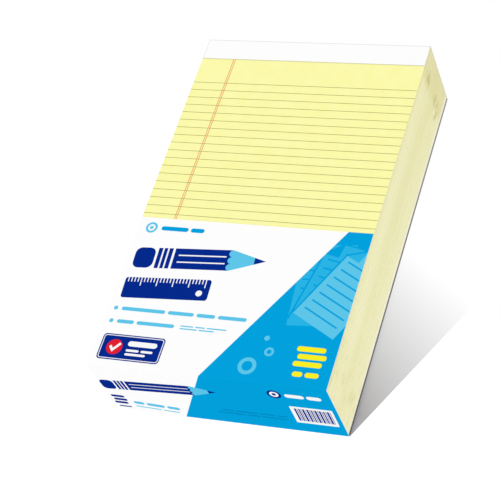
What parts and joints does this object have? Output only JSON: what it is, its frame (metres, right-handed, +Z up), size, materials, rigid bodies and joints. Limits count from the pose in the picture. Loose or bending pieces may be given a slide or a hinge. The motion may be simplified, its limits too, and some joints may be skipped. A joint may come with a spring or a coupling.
{
  "type": "legal pad pack",
  "caption": "Closed pack of ruled yellow legal pads with white taped heads, stacked flat on a stiff board, with a printed card folded over the foot.",
  "frame": {"origin": "middle of the underside of the board under the pack", "axes": "+Y along the page towards the taped head, +X across the page to the reader's right, +Z up"},
  "size_m": [0.216, 0.3562, 0.0749],
  "materials": {
    "ruled_paper": "matte",
    "pad_chipboard": "matte",
    "binding_paper": "matte",
    "stitch_wire": "satin",
    "printed_card": "satin",
    "grey_board": "matte"
  },
  "bodies": {
    "root": {"pad_01_sheets": "ruled_paper", "pad_01_board": "pad_chipboard", "pad_01_binding": "binding_paper", "pad_01_stitches": "stitch_wire", "pad_02_sheets": "ruled_paper", "pad_02_board": "pad_chipboard", "pad_02_binding": "binding_paper", "pad_02_stitches": "stitch_wire", "pad_03_sheets": "ruled_paper", "pad_03_board": "pad_chipboard", "pad_03_binding": "binding_paper", "pad_03_stitches": "stitch_wire", "pad_04_sheets": "ruled_paper", "pad_04_board": "pad_chipboard", "pad_04_binding": "binding_paper", "pad_04_stitches": "stitch_wire", "pad_05_sheets": "ruled_paper", "pad_05_board": "pad_chipboard", "pad_05_binding": "binding_paper", "pad_05_stitches": "stitch_wire", "pad_06_sheets": "ruled_paper", "pad_06_board": "pad_chipboard", "pad_06_binding": "binding_paper", "pad_06_stitches": "stitch_wire", "pad_07_sheets": "ruled_paper", "pad_07_board": "pad_chipboard", "pad_07_binding": "binding_paper", "pad_07_stitches": "stitch_wire", "pad_08_sheets": "ruled_paper", "pad_08_board": "pad_chipboard", "pad_08_binding": "binding_paper", "pad_08_stitches": "stitch_wire", "pad_09_sheets": "ruled_paper", "pad_09_board": "pad_chipboard", "pad_09_binding": "binding_paper", "pad_09_stitches": "stitch_wire", "pad_10_sheets": "ruled_paper", "pad_10_board": "pad_chipboard", "pad_10_binding": "binding_paper", "pad_10_stitches": "stitch_wire", "pad_11_sheets": "ruled_paper", "pad_11_board": "pad_chipboard", "pad_11_binding": "binding_paper", "pad_11_stitches": "stitch_wire", "pad_12_sheets": "ruled_paper", "pad_12_board": "pad_chipboard", "pad_12_binding": "binding_paper", "pad_12_stitches": "stitch_wire", "label_card": "printed_card", "backing_board": "grey_board"}
  },
  "joints": []
}
